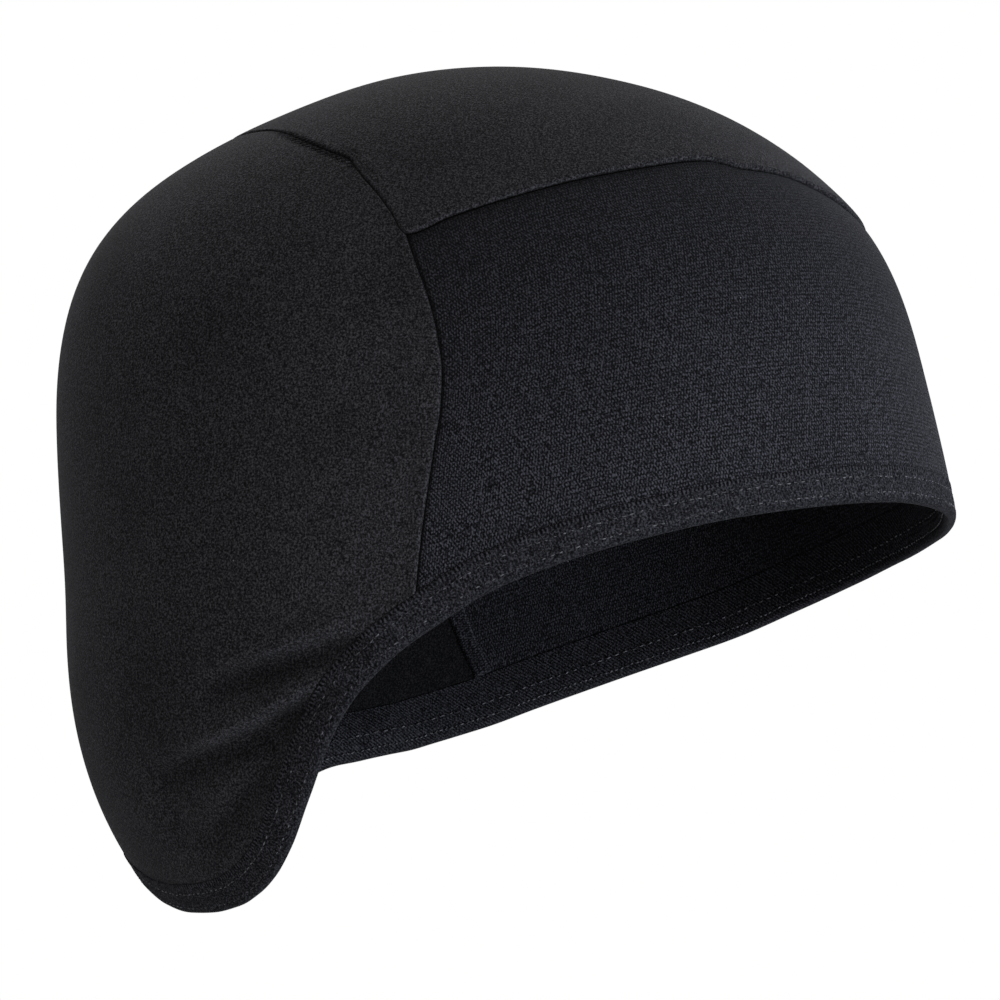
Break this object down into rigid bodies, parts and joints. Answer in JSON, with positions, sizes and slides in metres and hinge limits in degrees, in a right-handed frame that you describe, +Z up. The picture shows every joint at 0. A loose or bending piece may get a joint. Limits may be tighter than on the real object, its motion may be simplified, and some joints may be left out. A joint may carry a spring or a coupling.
{
  "type": "helmet liner cap",
  "caption": "Stretch skull cap worn under a helmet, with smooth crown and side panels, a fine mesh front panel, flaps over ears and nape, and a ribbed edge band round the opening.",
  "frame": {"origin": "highest point of the hollow inside the crown, where the top of the wearer's head sits", "axes": "+Z up, -Y the way the wearer faces, +X the wearer's left"},
  "size_m": [0.1544, 0.1942, 0.185],
  "materials": {
    "smooth_jersey": "black brushed stretch jersey",
    "mesh_knit": "black fine mesh knit",
    "ribbed_band": "black finely ribbed binding"
  },
  "bodies": {
    "root": {"crown_panel": "smooth_jersey", "front_panel": "mesh_knit", "side_panel_right": "smooth_jersey", "side_panel_left": "smooth_jersey", "edge_band": "ribbed_band"}
  },
  "joints": []
}
